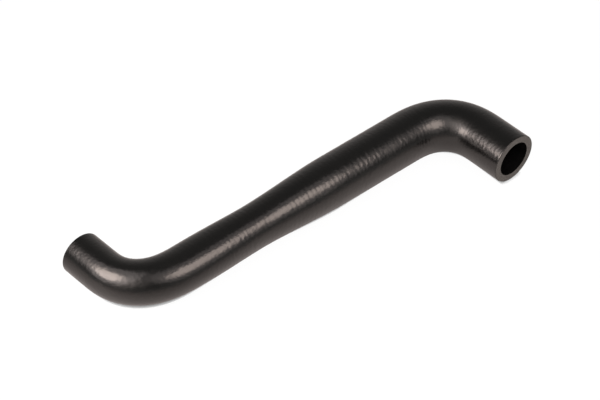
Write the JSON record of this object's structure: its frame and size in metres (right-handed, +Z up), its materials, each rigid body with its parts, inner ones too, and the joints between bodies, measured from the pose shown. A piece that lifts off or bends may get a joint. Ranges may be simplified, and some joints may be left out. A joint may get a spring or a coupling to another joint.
{
  "type": "coolant bypass hose",
  "caption": "Moulded rubber coolant hose, stepped from a narrow bore to a wide one, with opposite bends at its ends and plain square-cut tips.",
  "frame": {"origin": "on the floor, below the middle of the hose's bounding box, as the hose lies at rest", "axes": "+X along the long run from the narrow end's bend to the wide end's bend, +Y the way the narrow tip points, +Z up"},
  "size_m": [0.248, 0.0956, 0.0303],
  "materials": {
    "hose_rubber": "satin black moulded rubber"
  },
  "bodies": {
    "root": {"hose": "hose_rubber"}
  },
  "joints": []
}
